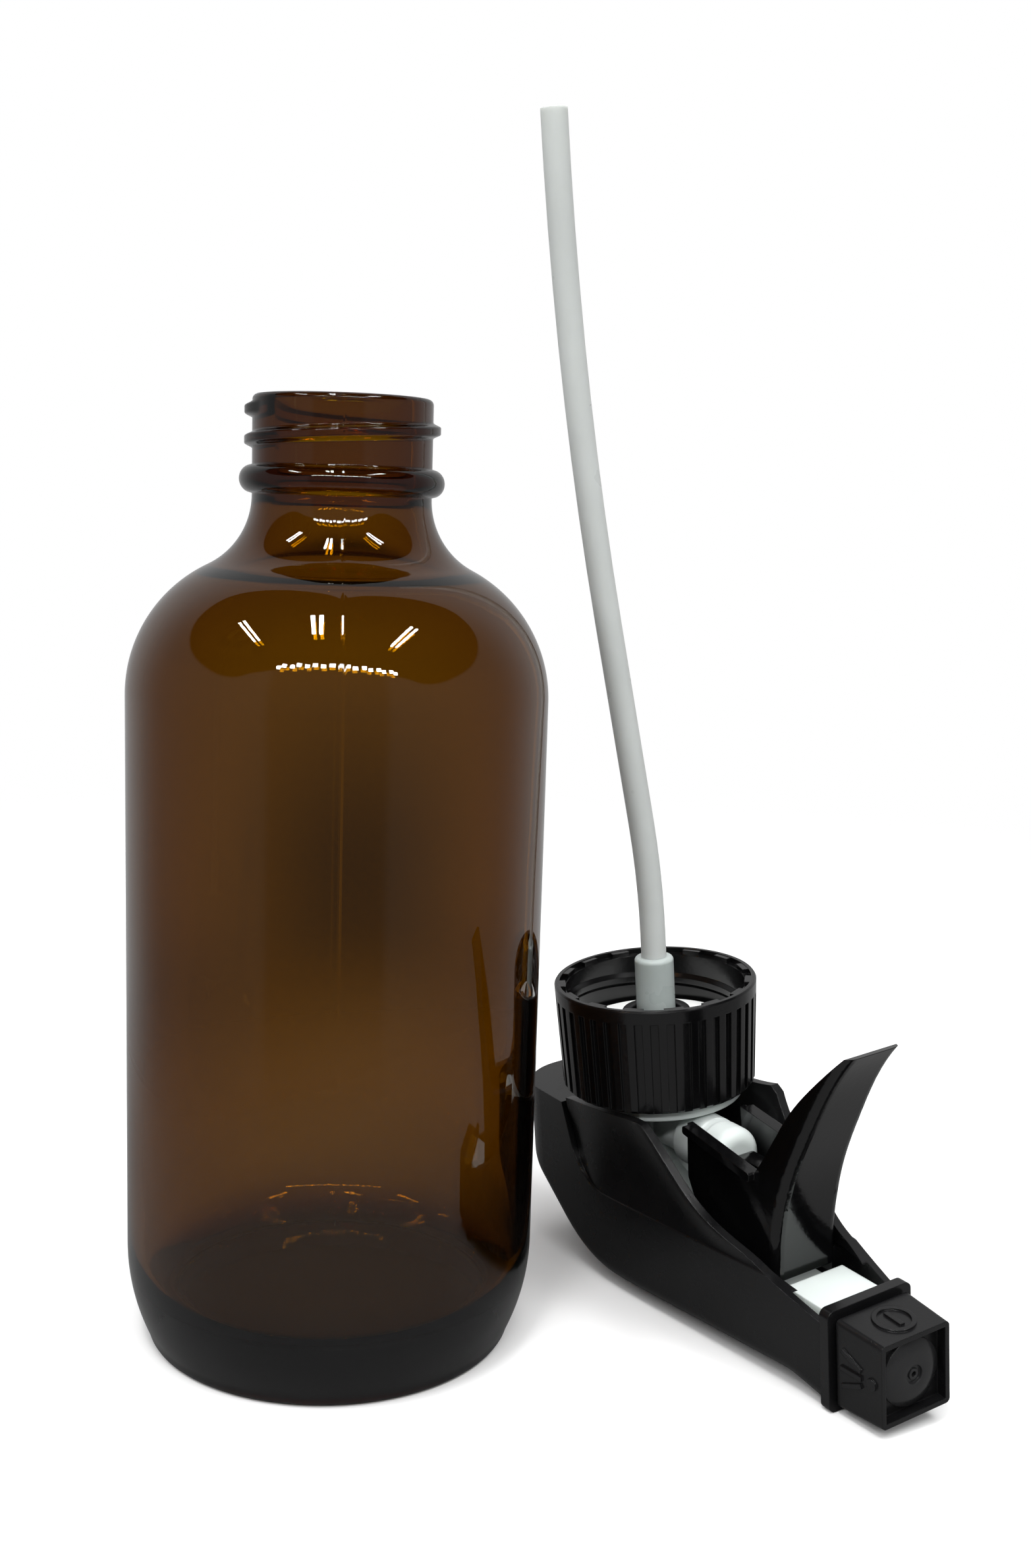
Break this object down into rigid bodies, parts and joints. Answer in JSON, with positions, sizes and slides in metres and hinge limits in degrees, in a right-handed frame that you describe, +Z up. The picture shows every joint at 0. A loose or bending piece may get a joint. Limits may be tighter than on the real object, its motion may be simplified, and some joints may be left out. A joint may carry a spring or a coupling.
{
  "type": "trigger spray bottle",
  "caption": "Boston-round glass spray bottle standing beside its lifted-off trigger sprayer, which rests upside down with its dip tube up.",
  "frame": {"origin": "centre of the bottle's foot ring, on the surface it stands on", "axes": "+Z up along the bottle's axis; +X from the bottle towards the sprayer; -Y towards the side that the nozzle points to"},
  "size_m": [0.119, 0.0779, 0.1806],
  "materials": {
    "amber_glass": "smooth amber container glass, deep brown in the body",
    "black_plastic": "moulded black polypropylene with a satin gloss",
    "white_plastic": "natural white moulded plastic",
    "natural_tube": "translucent polyethylene tube",
    "gasket_foam": "soft white polyethylene foam",
    "seal_rubber": "black rubber",
    "spring_steel": "stainless spring wire",
    "ball_steel": "polished stainless ball"
  },
  "bodies": {
    "bottle": {"bottle": "amber_glass"},
    "sprayer": {"pump_body": "white_plastic", "shroud": "black_plastic", "gasket": "gasket_foam", "retaining_ring": "black_plastic", "tube_holder": "natural_tube", "dip_tube": "natural_tube", "chamber_plug": "white_plastic", "passage_plug": "white_plastic", "swirl_insert": "white_plastic", "nozzle_seal": "seal_rubber", "return_spring": "spring_steel", "outlet_spring": "spring_steel"},
    "closure": {"closure": "black_plastic"},
    "trigger": {"trigger": "black_plastic"},
    "piston": {"piston": "white_plastic", "piston_seal": "seal_rubber"},
    "nozzle": {"nozzle_cap": "black_plastic", "orifice_disc": "black_plastic"},
    "inlet_ball": {"inlet_ball": "ball_steel"},
    "outlet_valve": {"outlet_valve": "white_plastic"}
  },
  "joints": [
    {"name": "sprayer_lift", "type": "slide", "parent": "bottle", "child": "sprayer", "axis": [0, 0, 1], "range_m": [0, 0.16]},
    {"name": "closure_turn", "type": "hinge", "parent": "sprayer", "child": "closure", "pos_m": [0.04986, 0.01976, 0.0416], "axis": [-0.0895, -0.054, 0.9945], "continuous": true},
    {"name": "trigger_pull", "type": "hinge", "parent": "sprayer", "child": "trigger", "pos_m": [0.06667, -0.00163, 0.00977], "axis": [-0.8516, -0.5137, -0.1045], "range_deg": [0, 22], "stiffness_Nm_per_rad": 0.4, "springref_deg": -14.32},
    {"name": "piston_stroke", "type": "slide", "parent": "sprayer", "child": "piston", "axis": [-0.5165, 0.8563, 0], "range_m": [0, 0.00625], "deforming": ["return_spring"]},
    {"name": "nozzle_turn", "type": "hinge", "parent": "sprayer", "child": "nozzle", "pos_m": [0.08073, -0.02468, 0.00848], "axis": [0.5165, -0.8563, 0], "continuous": true},
    {"name": "inlet_ball_travel", "type": "slide", "parent": "sprayer", "child": "inlet_ball", "axis": [-0.0895, -0.054, 0.9945], "range_m": [0, 0.0014]},
    {"name": "outlet_open", "type": "slide", "parent": "sprayer", "child": "outlet_valve", "axis": [0.5165, -0.8563, 0], "range_m": [0, 0.0008], "stiffness_N_per_m": 60, "springref_m": -0.002, "deforming": ["outlet_spring"]}
  ],
  "couplings": [
    {"joint": "piston_stroke", "follows": "trigger_pull", "m_per_rad": 0.0161}
  ]
}
